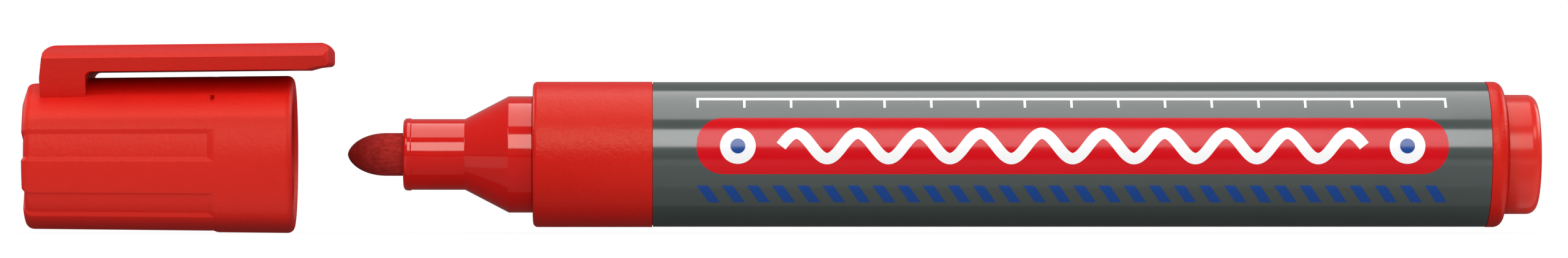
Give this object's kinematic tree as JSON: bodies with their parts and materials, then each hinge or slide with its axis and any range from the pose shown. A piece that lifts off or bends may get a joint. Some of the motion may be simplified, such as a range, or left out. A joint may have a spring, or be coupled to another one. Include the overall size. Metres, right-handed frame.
{
  "type": "whiteboard marker",
  "caption": "Round bullet-tip whiteboard marker with its cap pulled off: red cap with grip panels and wide clip, narrow neck, red grip, grey wrapped label and rear plug.",
  "frame": {"origin": "centre of the flat rear face of the end plug", "axes": "+X out of the rear face along the marker's axis, so the nib and the cap point along -X; +Z towards the clip, as in the picture"},
  "size_m": [0.1621, 0.0168, 0.0204],
  "materials": {
    "barrel": "fine-grained matte red",
    "label": "glossy grey printed film",
    "end_plug": "glossy red",
    "front_section": "glossy red",
    "nib": "bonded fibre soaked with red ink",
    "reservoir_core": "fibre filler soaked with red ink",
    "reservoir_film": "thin pale film",
    "cap_shell": "fine-grained matte red",
    "cap_liner": "natural white moulding"
  },
  "bodies": {
    "marker": {"barrel": "barrel", "label": "label", "end_plug": "end_plug", "front_section": "front_section", "nib": "nib", "reservoir_core": "reservoir_core", "reservoir_film": "reservoir_film"},
    "cap": {"cap_shell": "cap_shell", "cap_liner": "cap_liner"}
  },
  "joints": [
    {"name": "cap_slide", "type": "slide", "parent": "marker", "child": "cap", "axis": [1, 0, 0], "range_m": [0, 0.0253]}
  ]
}
